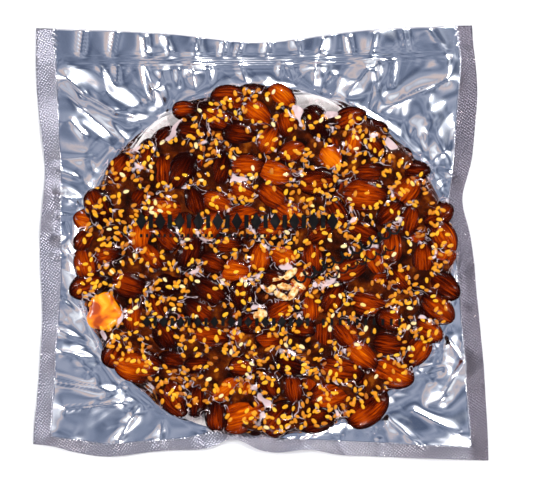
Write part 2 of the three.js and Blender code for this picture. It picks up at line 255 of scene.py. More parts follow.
CREASES = [
    # under the mouth weld, from left to right
    (-106.5, 90, -97, 81, 1.6, 1.6), (-97, 81, -80, 72, 1.6, 1.8), (-80, 72, -57, 67, 1.6, 1.6),
    (-113, 87, -98, 74, 1.3, -1.0), (-98, 74, -82, 60, 1.3, -1.0), (-88, 96, -84, 83, 2.0, 1.3),
    (-79, 97, -79, 89, 1.6, 1.4), (-63, 97, -59, 84, 1.9, 2.0), (-59, 84, -55.5, 71, 1.7, 2.0),
    (-46, 98, -45, 86, 1.4, 1.3), (-38, 97, -35, 80, 1.6, 2.0), (-28, 97, -28, 85, 1.4, 1.6),
    (-12, 98, -7, 84, 1.6, 2.2), (11, 99, 10, 88, 1.3, 1.8), (14, 98, 23, 80, 1.8, 2.2),
    (30, 98, 28.5, 77, 1.5, 2.4), (40, 92, 29, 78, 1.6, 1.5), (44, 77, 58, 95, 2.4, 1.6),
    (63, 100, 63, 85, 1.5, 1.4), (73, 100, 72, 87, 1.5, 1.3), (59.5, 70, 102, 89, 1.5, 2.0),
    # right of the cake, from the top down
    (83, 61, 81, 50, 1.8, 2.0), (91, 60, 90, 42, 2.2, 1.6), (106.5, 62, 106.5, 38, 1.2, -0.9),
    (93, 41, 106, 37, 1.2, 1.4), (106, 37, 97, 32, 1.1, 1.2), (96, 26, 106, 36, 1.2, 0.9),
    (104, -21, 116, -11, 1.2, 1.8), (104, -30, 115, -34, 1.6, 1.4), (101, -50, 111, -64, 1.8, 2.2),
    (111, -64, 100, -82, 1.8, 2.2), (78, -76, 99, -70, 1.8, 1.4), (92, -88, 103, -84, 1.6, 1.2),
    (84, -92, 108, -104, 2.0, 1.6), (70, -96, 88, -112, 1.8, 1.6), (65, -108, 65, -118, 1.0, 1.2),
    # below the cake, from right to left
    (40, -106, 46, -116, 1.6, 1.4), (22, -107, 25, -114, 1.4, 1.4), (-8, -106, -14, -110, 1.2, 1.4),
    (-24, -101, -17, -108, 1.2, 1.6), (-38, -100, -34, -111, 1.6, 1.6), (-53, -94, -56, -112, 1.8, 1.8),
    (-65, -86, -78, -108, 1.9, 2.2), (-107, -91, -65, -86, 1.9, 2.0), (-74, -82, -112, -76, 1.8, 1.4),
    # left of the cake, from the bottom up
    (-109, -60, -84, -64, 1.7, 1.8), (-110.5, -48, -90, -56, 1.5, 1.5), (-109.5, -31, -95, -43, 1.5, 1.5),
    (-113, -7, -101, -6, 1.6, 1.8), (-113, 4, -99.5, 4, 1.6, 2.0), (-113, 15, -98.5, 14, 1.6, 2.0),
    (-112, 26, -97, 22, 1.6, 1.8), (-112, 40, -93, 33, 1.8, 1.4), (-104, 67, -97, 59, 1.3, 1.1),
    (-80, 56, -75, 51, 2.4, 1.8), (-73, 66, -63, 59, 2.0, 1.6), (-112, 46, -92, 47, 1.2, -0.8),
    # in the open lip above the weld
    (-97.5, 118, -99, 104, 1.4, 1.8), (-64, 113, -63, 103, 1.7, 1.8), (-35, 114, -36, 103, 1.8, 1.6),
    (-20, 110, -21, 103, 1.6, 1.5), (-11, 110, -13, 103, 1.3, 1.4), (93, 117, 103, 101, 1.6, 1.6),
    (-80, 116, -82, 104, 1.8, 1.5), (-52, 113, -50, 103, 2.0, 1.6), (4, 112, 3, 103, 2.2, 1.8),
    (18, 112, 21, 104, 1.8, 1.6), (34, 112, 32, 104, 2.0, 1.8), (48, 113, 50, 104, 1.6, 1.6),
    (62, 115, 60, 104, 2.0, 1.8), (78, 117, 80, 106, 1.6, 1.5),
]
FLANGE_BASE = 0.7         # mm under the back film
FLANGE_FLAT, FLANGE_RAISED = 1, 14
SWELL_HEIGHT, CREASE_HEIGHT = 0.8, 0.9
RIDGE_ROUND = 0.35         # mm of rounding along a crease
COLLAR, COLLAR_FALL = 4.0, 8   # the back film is drawn up round the cake, then falls away outwards


def tent(distance, spread):
    """exp(-distance / spread), rounded off at its ridge: two flat flanks that meet in a sharp line."""
    return np.exp(-(np.sqrt(distance ** 2 + RIDGE_ROUND ** 2) - RIDGE_ROUND) / spread)


def ridge_height(points, folds, profile=bell):
    """Sum of height x profile(distance to the fold's line), the line clamped at its two ends."""
    total = np.zeros(points.shape[:-1])
    for x1, y1, x2, y2, spread, height in folds:
        start, run = np.array([x1, y1]), np.array([x2 - x1, y2 - y1])
        along = np.clip((points - start) @ run / (run @ run), 0, 1)
        distance = np.linalg.norm(points - start - along[..., None] * run, axis=-1)
        total += height * profile(distance, spread)
    return total


def small_folds(count, seed, start=(1.02, 1.5), length=(0.15, 0.5), spreads=(1.2, 3.5), steepness=(0.05, 0.2)):
    """Faint creases as ridge_height takes them, from places near the rim out towards the edge."""
    draw = np.random.default_rng(seed)
    angle = draw.uniform(-math.pi, math.pi, count)
    start = draw.uniform(*start, count)
    end = start + draw.uniform(*length, count)
    swerve = draw.normal(0, 0.05, count)
    inner = plan_points(angle, start)
    outer = plan_points(angle + swerve, np.minimum(end, 1.85))
    spread = draw.uniform(*spreads, count)
    height = spread * draw.uniform(*steepness, count) * draw.choice([1, 1, -1], count)
    return np.column_stack([inner, outer, spread, height])


def seam_place(points):
    """Height over the mouth weld's middle line, which drops and rises a little across the pouch."""
    return points[..., 1] - np.interp(points[..., 0], [-123, 5, 117], [99.5, 99.5, 105])


def flange_height(points):
    """Underside of the back film: flat under the cake, then base + swells + creases + a slow wave.
    The collar rises round the wafer over 3 mm, and outside the rim falls as exp(-distance / COLLAR_FALL)."""
    outside = outside_rim(points, bitten=0)
    free = smooth(outside, FLANGE_FLAT, FLANGE_RAISED)
    collar = COLLAR * smooth(outside_wafer(points), -1.5, 4.5) * np.exp(-np.clip(outside, 0, None) / COLLAR_FALL)
    collar *= 1 - 0.85 * wafer_peeks(points)
    x, y = points[..., 0], points[..., 1]
    wave = 0.2 * np.sin(x / 7.1 + np.sin(y / 9.3)) + 0.2 * np.sin(y / 6.3 + 2 * np.sin(x / 13.7))
    folds = (SWELL_HEIGHT * ridge_height(points, SWELLS) + CREASE_HEIGHT * ridge_height(points, CREASES, tent)
             + ridge_height(points, SMALL_FOLDS, tent))
    up = seam_place(points)
    crinkle = 0.25 * np.sin(x / 0.9 + 2 * np.sin(x / 3.1)) * np.sin(x / 4.7)
    pressed = bell(up, 2.6)
    seam = 0.5 * np.cos(up * 2.6 + crinkle) * bell(up, 2.2)
    lifted = np.maximum(0, FLANGE_BASE + wave + folds * (1 - 0.55 * pressed)) + pressed * 0.5 + seam * 0.6
    pleats = smooth(outside, -1, 1.5) * ridge_height(points, PLEATS, tent)
    return np.maximum(0, collar + free * lifted + pleats)


SMALL_FOLDS = small_folds(80, 41)
PLEATS = small_folds(110, 43, start=(0.99, 1.1), length=(0.1, 0.4), spreads=(0.8, 1.8), steepness=(0.15, 0.4))


# ----------------------------------------------------------------------------------- silver back film
# The pouch's back: polyester film metallised with aluminium, laminated to polyethylene, about 0.1 mm
# thick. It lies flat under the cake, is crumpled round it, and its weld bands are pressed with dimples.
FILM_THICKNESS = 0.3      # mm, heavier than the real 0.1 so that its edge can be seen
AROUND = 640              # steps round the pouch, a multiple of eight so that the corners fall on steps
LEFT_BAND, RIGHT_BAND, BOTTOM_BAND = 9.4, 8.8, 6.6


def sheet_plan(rings):
    """Places (rings, steps, 2) of a sheet from its middle to the pouch's edge."""
    angle = np.linspace(-math.pi, math.pi, AROUND, endpoint=False) + math.pi / 4
    angle, ring = np.meshgrid((angle + math.pi) % (2 * math.pi) - math.pi, rings)
    return plan_points(angle, ring)


def sheet_faces(ring_count):
    """Quads between rings, closed round, and triangles at the middle point, which is number 0."""
    ring, step = np.meshgrid(np.arange(ring_count - 1), np.arange(AROUND), indexing="ij")
    here = 1 + ring * AROUND + step
    beside = 1 + ring * AROUND + (step + 1) % AROUND
    quads = np.stack([here, here + AROUND, beside + AROUND, beside], -1).reshape(-1, 4)
    step = np.arange(AROUND)
    fan = np.stack([np.zeros(AROUND, int), 1 + step, 1 + (step + 1) % AROUND], -1)
    return fan, quads


def mesh_piece(name, points, faces, material):
    """A smooth mesh object from places in mm and lists of faces that may differ in their corners."""
    mesh = bpy.data.meshes.new(name)
    corners = [np.asarray(group) for group in faces if len(group)]
    totals = np.concatenate([np.full(len(group), group.shape[1]) for group in corners])
    mesh.vertices.add(len(points))
    mesh.vertices.foreach_set("co", (np.asarray(points) / 1000).ravel())
    mesh.loops.add(int(totals.sum()))
    mesh.loops.foreach_set("vertex_index", np.concatenate([group.ravel() for group in corners]).astype(int))
    mesh.polygons.add(len(totals))
    mesh.polygons.foreach_set("loop_start", np.concatenate([[0], np.cumsum(totals)[:-1]]).astype(int))
    mesh.update(calc_edges=True)
    mesh.polygons.foreach_set("use_smooth", np.ones(len(totals), bool))
    mesh.validate()
    mesh.materials.append(material)
    piece = bpy.data.objects.new(name, mesh)
    bpy.context.scene.collection.objects.link(piece)
    return piece


def paint(piece, name, values):
    """Gives each vertex of a piece a number that its material reads by name."""
    attribute = piece.data.attributes.new(name, "FLOAT", "POINT")
    attribute.data.foreach_set("value", np.asarray(values, np.float32).ravel())


def weld_mask(points):
    """How dull the film is: 0 inside the bag, and 1, 0.8 and 0.75 in the right, left and bottom weld
    bands, from the distance to each straight side."""
    left = 1 - smooth(points[..., 0] - np.interp(points[..., 1], [-110, -20, 40, 118], [-125, -119, -119, -123]),
                      LEFT_BAND - 0.4, LEFT_BAND + 0.4)
    right = 1 - smooth(np.interp(points[..., 1], [-119, -20, 20, 40, 100, 119], [124.5, 117, 111, 114, 118.5, 116])
                       - points[..., 0], RIGHT_BAND - 0.4, RIGHT_BAND + 0.4)
    bottom = 1 - smooth(points[..., 1] - np.interp(points[..., 0], [-125, -85, -40, -16, 10, 125],
                                                   [-111, -117, -113.5, -108, -113.5, -119]),
                        BOTTOM_BAND - 0.4, BOTTOM_BAND + 0.4)
    return np.maximum(np.maximum(0.8 * left, right), 0.75 * bottom)


laminate = bpy.data.materials.new("metallised_film")
laminate.use_nodes = True
shader = laminate.node_tree.nodes["Principled BSDF"]
where = add(laminate, "ShaderNodeTexCoord")
weld = add(laminate, "ShaderNodeAttribute", attribute_name="weld")
# The weld bands' dimples are a slanting waffle.
DIMPLE_PITCH = 1.3
slant = add(laminate, "ShaderNodeMapping", {"Vector": where.outputs["Object"], "Rotation": (0, 0, 0.6),
                                            "Scale": (1000 / DIMPLE_PITCH,) * 3})
dimples = add(laminate, "ShaderNodeTexVoronoi", {"Vector": slant.outputs["Vector"], "Scale": 1.0, "Randomness": 0.25},
              voronoi_dimensions="2D")
pressed = add(laminate, "ShaderNodeMath", {0: dimples.outputs["Distance"], 1: weld.outputs["Fac"]}, operation="MULTIPLY")
dimpled = add(laminate, "ShaderNodeBump", {"Height": pressed.outputs["Value"], "Strength": 0.8, "Distance": 0.0006})
# Fine orange-peel of the film, about 3 mm across, which breaks its reflections a little.
peel = add(laminate, "ShaderNodeTexNoise", {"Vector": where.outputs["Object"], "Scale": 330, "Detail": 2.0})
peeled = add(laminate, "ShaderNodeBump", {"Height": peel.outputs["Fac"], "Strength": 0.06, "Distance": 0.0003,
                                          "Normal": dimpled.outputs["Normal"]})
dull = add(laminate, "ShaderNodeMapRange", {"Value": weld.outputs["Fac"], "To Min": 0.12, "To Max": 0.38})
tint = add(laminate, "ShaderNodeValToRGB", {"Fac": weld.outputs["Fac"]}, stops=[
    (0, "#EEF1F6"), (0.75, "#9C9BA5"), (1, "#77737D")])
shader.inputs["Metallic"].default_value = 1.0
laminate.node_tree.links.new(tint.outputs["Color"], shader.inputs["Base Color"])
laminate.node_tree.links.new(dull.outputs["Result"], shader.inputs["Roughness"])
laminate.node_tree.links.new(peeled.outputs["Normal"], shader.inputs["Normal"])

back_rings = np.concatenate([[0.5, 0.9, 0.92, 0.935, 0.95, 0.965, 0.98], np.linspace(1.0, 2.0, 56)])
back_plan = sheet_plan(back_rings)
back_under = flange_height(back_plan)
middle = [[*CAKE_MIDDLE, 0.0]]
lower = np.concatenate([middle, np.dstack([back_plan, back_under]).reshape(-1, 3)])
upper = lower + [0, 0, FILM_THICKNESS]
fan, quads = sheet_faces(len(back_rings))
count = len(lower)
last = 1 + (len(back_rings) - 1) * AROUND + np.arange(AROUND)
following = 1 + (len(back_rings) - 1) * AROUND + (np.arange(AROUND) + 1) % AROUND
edge_wall = np.stack([last, following, following + count, last + count], -1)
back_film = mesh_piece("silver_back", np.concatenate([lower, upper]),
                       [fan[:, ::-1], fan + count, quads[:, ::-1], quads + count, edge_wall], laminate)
paint(back_film, "weld", np.tile(np.concatenate([[0], weld_mask(back_plan).ravel()]), 2))
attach(back_film, "root")
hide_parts("silver_back_film")

# --------------------------------------------------------------------------------------------- wafer
# A thin white wafer, baked of flour and starch between ribbed plates, on which the hot cake was
# spread. It is dull and shows only in the bites of the rim and through gaps between the nuts.
WAFER_THICKNESS = 1.0
WAFER_CURL = 1.6          # mm that its rim stands up
WAFER_RIB = 1.6           # mm from rib to rib

wafer_paper = bpy.data.materials.new("baked_wafer")
wafer_paper.use_nodes = True
shader = wafer_paper.node_tree.nodes["Principled BSDF"]
where = add(wafer_paper, "ShaderNodeTexCoord")
crumb = add(wafer_paper, "ShaderNodeTexNoise", {"Vector": where.outputs["Object"], "Scale": 900, "Detail": 3.0})
flour = add(wafer_paper, "ShaderNodeValToRGB", {"Fac": crumb.outputs["Fac"]}, stops=[(0.3, "#E4DAD4"), (0.7, "#FBF6F2")])
baked = add(wafer_paper, "ShaderNodeBump", {"Height": crumb.outputs["Fac"], "Strength": 0.3, "Distance": 0.0002})
wafer_paper.node_tree.links.new(flour.outputs["Color"], shader.inputs["Base Color"])
wafer_paper.node_tree.links.new(baked.outputs["Normal"], shader.inputs["Normal"])
shader.inputs["Roughness"].default_value = 0.85

angle = np.linspace(-math.pi, math.pi, AROUND, endpoint=False)
wafer_rings = np.linspace(0.02, 1.0, 60)
oval = np.stack([np.cos(angle), np.sin(angle)], -1) * CAKE_HALF
far = np.linalg.norm(oval, axis=-1)
oval *= (1 - outside_wafer(CAKE_MIDDLE + oval) / far)[:, None]
wafer_plan = CAKE_MIDDLE + wafer_rings[:, None, None] * oval
rib = 0.12 * np.cos(2 * math.pi * wafer_plan[..., 0] / WAFER_RIB)
rib += WAFER_CURL * smooth(outside_wafer(wafer_plan), -12, 0)
wafer_floor = FILM_THICKNESS + 0.15
bottom = np.concatenate([[[*CAKE_MIDDLE, wafer_floor]],
                         np.dstack([wafer_plan, wafer_floor + np.maximum(0, rib - 0.12)]).reshape(-1, 3)])
top = np.concatenate([[[*CAKE_MIDDLE, wafer_floor + WAFER_THICKNESS]],
                      np.dstack([wafer_plan, wafer_floor + WAFER_THICKNESS + rib]).reshape(-1, 3)])
fan, quads = sheet_faces(len(wafer_rings))
count = len(bottom)
last = 1 + (len(wafer_rings) - 1) * AROUND + np.arange(AROUND)
following = 1 + (len(wafer_rings) - 1) * AROUND + (np.arange(AROUND) + 1) % AROUND
edge_wall = np.stack([last, following, following + count, last + count], -1)
wafer = mesh_piece("wafer", np.concatenate([bottom, top]),
                   [fan[:, ::-1], fan + count, quads[:, ::-1], quads + count, edge_wall], wafer_paper)
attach(wafer, "root")
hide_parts("clear_front_with_brittle")

# ------------------------------------------------------------------------------------------- almonds
# Whole roasted almonds in their skins, 16 to 26 mm long, one layer deep. The ones that stand out are
# placed as [x, y, turn, length], and a rule fills in between them: it tries a sunflower spiral's
# places and keeps each that is clear of all before it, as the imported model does.
PLACED_ALMONDS = [
    (-15.5, 77.5, -5, 25), (11.5, 79, -40, 18.5), (-36.5, 60.5, -10, 20.5), (-10.5, 59, -10, 23.5),
    (18, 50.5, 25, 19.5), (-22, 40, 70, 23.5), (7, 25, -35, 22), (30.5, 65, -60, 21.5),
    (39, 45.5, -45, 18.5), (48.5, 67, 25, 20), (50.5, 55, 80, 16), (62.5, 51.5, -50, 16.5),
    (59.5, 38, 0, 20.5), (57, 26, -5, 28.5), (84, 39.5, 0, 17.5), (80, 29, 50, 22.5),
    (31, 32.5, 0, 27), (-41, 72.5, 0, 15), (-62, 48.5, 80, 17.5), (-76, 40, 60, 21.5),
    (-53.5, 39.5, 90, 23.5), (-43, 39.5, 60, 25), (-87.5, 19, -65, 23), (-51.5, 17.5, 0, 27),
    (-59.5, -7, -50, 21.5), (-72, -23, -20, 24.5), (-45.5, -22, 0, 27), (-83.5, -6.5, 15, 16.5),
    (-56, -37, -65, 22.5), (-51, -51, -55, 23.5), (-10.5, -29, -90, 21.5), (13, -7, -20, 19.5),
    (-9, 14.5, 15, 22.5), (11.5, -36.5, 30, 21.5), (49.5, -14.5, 25, 22.5), (77.5, -21, -50, 22.5),
    (60, -33.5, -15, 24.5), (56, 5.5, -25, 22.5), (71.5, -1, 90, 21.5), (39.5, -30.5, 60, 22.5),
    (88.5, -8, 90, 22.5), (33.5, 6, 30, 22.5), (-27.5, -50.5, -10, 23.5), (17, -67.5, -20, 23.5),
    (-9.5, -67.5, 0, 17.5), (-9, -93, 20, 28.5), (10, -95, 50, 24.5), (5, -78, -60, 21.5),
    (4, -53.5, 0, 21.5), (-19, -79, 40, 21.5), (-33, -66, 0, 22.5), (-66.5, -66.5, -10, 27.5),
    (-47.5, -84.5, -60, 23.5), (47, -50.5, -50, 23.5), (71, -70, -25, 27.5), (44, -69, -10, 27),
    (39.5, -83, 15, 28.5), (58, -90, 35, 27.5), (30.5, -95.5, 10, 23.5), (71.5, -56, -8, 25.5),
]
ALMOND_LENGTH, ALMOND_WIDTH, ALMOND_HEIGHT, ALMOND_TOP = 22.5, 0.72, 7.6, 11.7
RIM_PLACES, RIM_INSET, RIM_APART = 44, 6.4, 12.2     # nuts along the rim, before the spiral's
ALMONDS_APART, FILLERS_APART = 12.4, 8.8             # the spiral's nuts, then the ones under them
FILLERS_LOWER = 2.4
# Nuts that stand out by their colour: x, y, and how much lighter or darker.
STANDOUTS = [(-45.5, -22, -0.5), (17, -67.5, -0.3), (39, 45.5, 0.35), (-62, 48.5, -0.2), (30.5, 65, -0.3)]
LUMP = (-85.5, -37.5)
SPIRAL_STEPS = 900
RANDOM_SEED = 7612
TIP, BUTT = 0.55, 0.42    # powers that draw a nut out to a point at one end and round off the other
ALONG, AROUND_NUT = 21, 24


def drawer(seed):
    """Draws from 0 to 1: state = state x 1664525 + 1013904223, kept to 32 bits."""
    state = seed
    while True:
        state = (state * 1664525 + 1013904223) & 0xFFFFFFFF
        yield state / 2 ** 32


def almond_layout(draw):
    """Rows of x, y, turn, length and top: the placed almonds, then those of the rim, then the
    spiral's, then the lower ones. Each is kept only where it is clear of all before it."""
    almonds = [list(row) for row in PLACED_ALMONDS]
    taken = [row[:2] for row in almonds] + [list(LUMP)]
    golden_angle = math.pi * (3 - math.sqrt(5))
    step = np.arange(SPIRAL_STEPS)
    reach = np.sqrt((step + 0.5) / SPIRAL_STEPS)[:, None]
    spiral = CAKE_MIDDLE + CAKE_HALF * reach * np.stack([np.cos(step * golden_angle), np.sin(step * golden_angle)], -1)
    spiral = spiral[-outside_rim(spiral) > RIM_INSET]
    way = 2 * math.pi * np.arange(RIM_PLACES) / RIM_PLACES
    inner = (np.stack(rim_radii(way), -1) - RIM_INSET) * np.stack([np.cos(way), np.sin(way)], -1)

    def add_where_clear(spots, apart):
        for spot in spots:
            away = np.array(taken) - spot
            gaps = np.hypot(away[:, 0], away[:, 1])
            if gaps.min() >= apart:
                nearest = away[gaps.argmin()]
                turn = math.degrees(math.atan2(nearest[1], nearest[0])) + 90 + 50 * (next(draw) - 0.5)
                almonds.append([*spot, turn, ALMOND_LENGTH * (0.82 + 0.22 * next(draw))])
                taken.append(list(spot))

    add_where_clear(CAKE_MIDDLE + inner, RIM_APART)
    add_where_clear(spiral, ALMONDS_APART)
    tops = [ALMOND_TOP - 1.6 * next(draw) for _ in almonds]
    add_where_clear(spiral, FILLERS_APART)
    tops += [ALMOND_TOP - FILLERS_LOWER - 1.6 * next(draw) for _ in almonds[len(tops):]]
    return np.column_stack([almonds, tops])


def nut_width(x):
    """Half width along a nut, 1 at its widest: (1 - x)^TIP (1 + x)^BUTT, x from -1 to 1."""
    widest = (BUTT - TIP) / (BUTT + TIP)
    peak = (1 - widest) ** TIP * (1 + widest) ** BUTT
    return np.clip(1 - x, 0, None) ** TIP * np.clip(1 + x, 0, None) ** BUTT / peak


def nut_faces(number, rings, steps):
    """Quads between the rings of one nut and triangles at its two points, repeated for every nut."""
    ring, step = np.meshgrid(np.arange(rings - 1), np.arange(steps), indexing="ij")
    here, beside = ring * steps + step, ring * steps + (step + 1) % steps
    quads = np.stack([here, beside, beside + steps, here + steps], -1).reshape(-1, 4)
    step = np.arange(steps)
    beside, first, final = (step + 1) % steps, rings * steps, (rings - 1) * steps
    ends = np.concatenate([np.stack([np.full(steps, first), beside, step], -1),
                           np.stack([np.full(steps, first + 1), final + step, final + beside], -1)])
    shift = (np.arange(number) * (rings * steps + 2))[:, None, None]
    return (ends + shift).reshape(-1, 3), (quads + shift).reshape(-1, 4)


def turned(points, degrees):
    """Turns rows of points about +Z, each nut by its own angle."""
    c, s = np.cos(np.radians(degrees))[:, None], np.sin(np.radians(degrees))[:, None]
    x, y = points[..., 0] * c - points[..., 1] * s, points[..., 0] * s + points[..., 1] * c
    return np.stack([x, y, points[..., 2]], -1)


draw = drawer(RANDOM_SEED)
almonds = almond_layout(draw)
almond_count = len(almonds)
variety = np.random.default_rng(RANDOM_SEED).uniform(-1, 1, (almond_count, 6))
theta = np.linspace(0, math.pi, ALONG + 2)[1:-1]
x, v = np.meshgrid(-np.cos(theta), np.linspace(0, 2 * math.pi, AROUND_NUT, endpoint=False), indexing="ij")
ridges = sum(np.sin(k * v[None] + 2.2 * variety[:, k - 4, None, None] + 1.5 * x[None] * variety[:, 1, None, None])
             for k in (5, 7)) * 0.018
bulge = 1 + ridges + 0.05 * variety[:, 0, None, None] * np.sin(2 * x[None] + 3 * variety[:, 2, None, None])
half = nut_width(x)[None] * bulge
length = almonds[:, 3, None, None]
body = np.stack([x[None] * length / 2, half * np.cos(v) * length * ALMOND_WIDTH / 2,
                 half * np.sin(v) * ALMOND_HEIGHT / 2 * (1 + 0 * length)], -1)
ends = np.zeros((almond_count, 2, 3))
ends[:, 0, 0], ends[:, 1, 0] = -almonds[:, 3] / 2, almonds[:, 3] / 2
body = np.concatenate([body.reshape(almond_count, -1, 3), ends], 1)
lean = np.radians(5 * variety[:, 3, None])
body = np.stack([body[..., 0] * np.cos(lean) + body[..., 2] * np.sin(lean), body[..., 1],
                 body[..., 2] * np.cos(lean) - body[..., 0] * np.sin(lean)], -1)
body = turned(body, almonds[:, 2])
body += np.column_stack([almonds[:, 0], almonds[:, 1], almonds[:, 4] - ALMOND_HEIGHT / 2])[:, None]

skin = bpy.data.materials.new("roasted_almond_skin")
skin.use_nodes = True
shader = skin.node_tree.nodes["Principled BSDF"]
grain = add(skin, "ShaderNodeAttribute", attribute_name="grain")
# Per vertex: each nut's own tone, with painted shade down its sides and painted light on its top and at the cake's rim.
tone_and_painted_shading = add(skin, "ShaderNodeAttribute", attribute_name="tone_and_painted_shading")
# Grooves of the skin run from butt to tip, about 1.2 mm apart, darker than the ridges between them.
streaks = add(skin, "ShaderNodeTexNoise", {"Vector": grain.outputs["Vector"], "Scale": 1.0, "Detail": 3.0,
                                           "Roughness": 0.6, "Distortion": 0.6})
blotches = add(skin, "ShaderNodeTexNoise", {"Vector": add(skin, "ShaderNodeTexCoord").outputs["Object"],
                                            "Scale": 110, "Detail": 2.0})
mixed = add(skin, "ShaderNodeMath", {0: streaks.outputs["Fac"], 1: 0.8, 2: tone_and_painted_shading.outputs["Fac"]}, operation="MULTIPLY_ADD")
toned = add(skin, "ShaderNodeMath", {0: blotches.outputs["Fac"], 1: 0.2, 2: mixed.outputs["Value"]}, operation="MULTIPLY_ADD")
browns = add(skin, "ShaderNodeValToRGB", {"Fac": toned.outputs["Value"]}, stops=[
    (0.27, "#1A0200"), (0.42, "#420C00"), (0.56, "#802600"), (0.69, "#B04400"), (0.85, "#DA7406")])
grooved = add(skin, "ShaderNodeBump", {"Height": streaks.outputs["Fac"], "Strength": 0.35, "Distance": 0.0005})
skin.node_tree.links.new(browns.outputs["Color"], shader.inputs["Base Color"])
skin.node_tree.links.new(grooved.outputs["Normal"], shader.inputs["Normal"])
shader.inputs["Roughness"].default_value = 0.5
shader.inputs["Specular IOR Level"].default_value = 0.0
shader.inputs["Coat Weight"].default_value = 0.08
shader.inputs["Coat Roughness"].default_value = 0.08

faces = nut_faces(almond_count, ALONG, AROUND_NUT)
nuts = mesh_piece("almonds", body.reshape(-1, 3), faces, skin)
GROOVE = 0.9
RIM_LIGHTER = 0.2         # how much lighter the nuts are at the rim, where light comes in from the side
streak_length = 9.0
grain_x = np.concatenate([(x[None] * length / 2).reshape(almond_count, -1), ends[:, :, 0]], 1) / streak_length
girth = np.concatenate([np.broadcast_to(v, (almond_count, *v.shape)).reshape(almond_count, -1), np.zeros((almond_count, 2))], 1)
radius = ALMOND_LENGTH * ALMOND_WIDTH / 2 / GROOVE
number = np.arange(almond_count)[:, None] * 13.0
field = np.stack([grain_x + number, radius * np.cos(girth), radius * np.sin(girth)], -1)
vectors = nuts.data.attributes.new("grain", "FLOAT_VECTOR", "POINT")
vectors.data.foreach_set("vector", field.astype(np.float32).ravel())
shades = 0.16 * variety[:, 4]
for sx, sy, lighter in STANDOUTS:
    shades[np.hypot(almonds[:, 0] - sx, almonds[:, 1] - sy).argmin()] += lighter
# Painted shade and light: each nut's colour is made lighter at its top and darker down its sides, by 0.6 x (how high
# round the nut a place lies - 0.9), and lighter by up to RIM_LIGHTER at the cake's rim.
upper = np.concatenate([np.broadcast_to((nut_width(x) * np.sin(v)).ravel(), (almond_count, v.size)),
                        np.zeros((almond_count, 2))], 1)
rim_light = smooth(outside_rim(body[..., :2]), -7, 1)
paint(nuts, "tone_and_painted_shading", shades[:, None] + 0.6 * (upper - 0.9) + RIM_LIGHTER * rim_light)
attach(nuts, "root")
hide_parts("clear_front_with_brittle")

# ------------------------------------------------------------------------------------ amber caramel lump
# A piece of paler boiled sugar at the left of the rim: a bright amber, see-through pebble with a
# chipped outline, set among the nuts.
LUMP_SIZE = (19, 22)
LUMP_BOTTOM, LUMP_TOP = 2.0, 11.2

amber = bpy.data.materials.new("amber_caramel")
amber.use_nodes = True
shader = amber.node_tree.nodes["Principled BSDF"]
swirl = add(amber, "ShaderNodeTexNoise", {"Vector": add(amber, "ShaderNodeTexCoord").outputs["Object"],
                                          "Scale": 130, "Detail": 1.5, "Distortion": 0.7})
golds = add(amber, "ShaderNodeValToRGB", {"Fac": swirl.outputs["Fac"]}, stops=[
    (0.36, "#AC4000"), (0.46, "#E07000"), (0.58, "#FA9604"), (0.7, "#FFB42C")])
amber.node_tree.links.new(golds.outputs["Color"], shader.inputs["Base Color"])
shader.inputs["Roughness"].default_value = 0.25
shader.inputs["Subsurface Weight"].default_value = 0.2
shader.inputs["Subsurface Scale"].default_value = 0.004

LUMP_ALONG, LUMP_AROUND = 20, 48
theta, v = np.meshgrid(np.linspace(0, math.pi, LUMP_ALONG + 2)[1:-1],
                       np.linspace(0, 2 * math.pi, LUMP_AROUND, endpoint=False), indexing="ij")
outline = 1 + 0.08 * np.cos(3 * v + 1) + 0.06 * np.cos(5 * v + 0.6) + 0.02 * np.cos(11 * v)
reach = np.clip(np.sin(theta), 0, 1) ** 0.5 * outline
level = -np.sign(np.cos(theta)) * np.abs(np.cos(theta)) ** 0.8
dent = 0.5 * np.clip(level, 0, 1) * np.cos(2.2 * reach * np.cos(v) + 1) * np.cos(2 * reach * np.sin(v))
lump_middle, lump_half = (LUMP_TOP + LUMP_BOTTOM) / 2, (LUMP_TOP - LUMP_BOTTOM) / 2
pebble = np.stack([LUMP[0] + reach * np.cos(v) * LUMP_SIZE[0] / 2, LUMP[1] + reach * np.sin(v) * LUMP_SIZE[1] / 2,
                   lump_middle + level * lump_half - dent], -1).reshape(-1, 3)
poles = [[*LUMP, LUMP_BOTTOM], [*LUMP, LUMP_TOP - 0.5 * math.cos(1)]]
lump = mesh_piece("amber_lump", np.concatenate([pebble, poles]), nut_faces(1, LUMP_ALONG, LUMP_AROUND), amber)
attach(lump, "root")
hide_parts("clear_front_with_brittle")

# ------------------------------------------------------------------------------------- broken almond
# An almond crushed to pale splinters near the middle, and the cut face of another beside it.
# Each splinter is a flattened nut: [x, y, turn, length, width, top].
SPLINTERS = [
    (8.5, -19.5, 15, 9, 4.2, 12.0), (15.5, -17.5, 40, 11, 5.0, 11.9), (20.5, -22.5, -35, 9, 4.4, 12.0),
    (12.5, -23.5, -10, 9, 4.4, 12.1), (17.5, -27.0, 60, 10, 4.2, 12.0), (6.0, -24.5, 35, 8, 4.0, 11.8),
    (22.5, -17.0, 10, 7, 3.4, 11.7), (11.0, -28.5, -30, 9, 4.0, 11.8), (-0.5, -39.5, 20, 8.5, 7.0, 11.6),
    (-39.5, -11.0, 60, 6, 4.0, 8.4),
]
SPLINTER_HEIGHT = 3.0
splinters = np.array(SPLINTERS)

flesh = bpy.data.materials.new("almond_flesh")
flesh.use_nodes = True
shader = flesh.node_tree.nodes["Principled BSDF"]
toast = add(flesh, "ShaderNodeTexNoise", {"Vector": add(flesh, "ShaderNodeTexCoord").outputs["Object"],
                                          "Scale": 420, "Detail": 2.0})
creams = add(flesh, "ShaderNodeValToRGB", {"Fac": toast.outputs["Fac"]}, stops=[
    (0.34, "#A8560E"), (0.44, "#DDA052"), (0.56, "#F2D092"), (0.7, "#FAE6BE")])
flesh.node_tree.links.new(creams.outputs["Color"], shader.inputs["Base Color"])
shader.inputs["Roughness"].default_value = 0.45
shader.inputs["Specular IOR Level"].default_value = 0.2

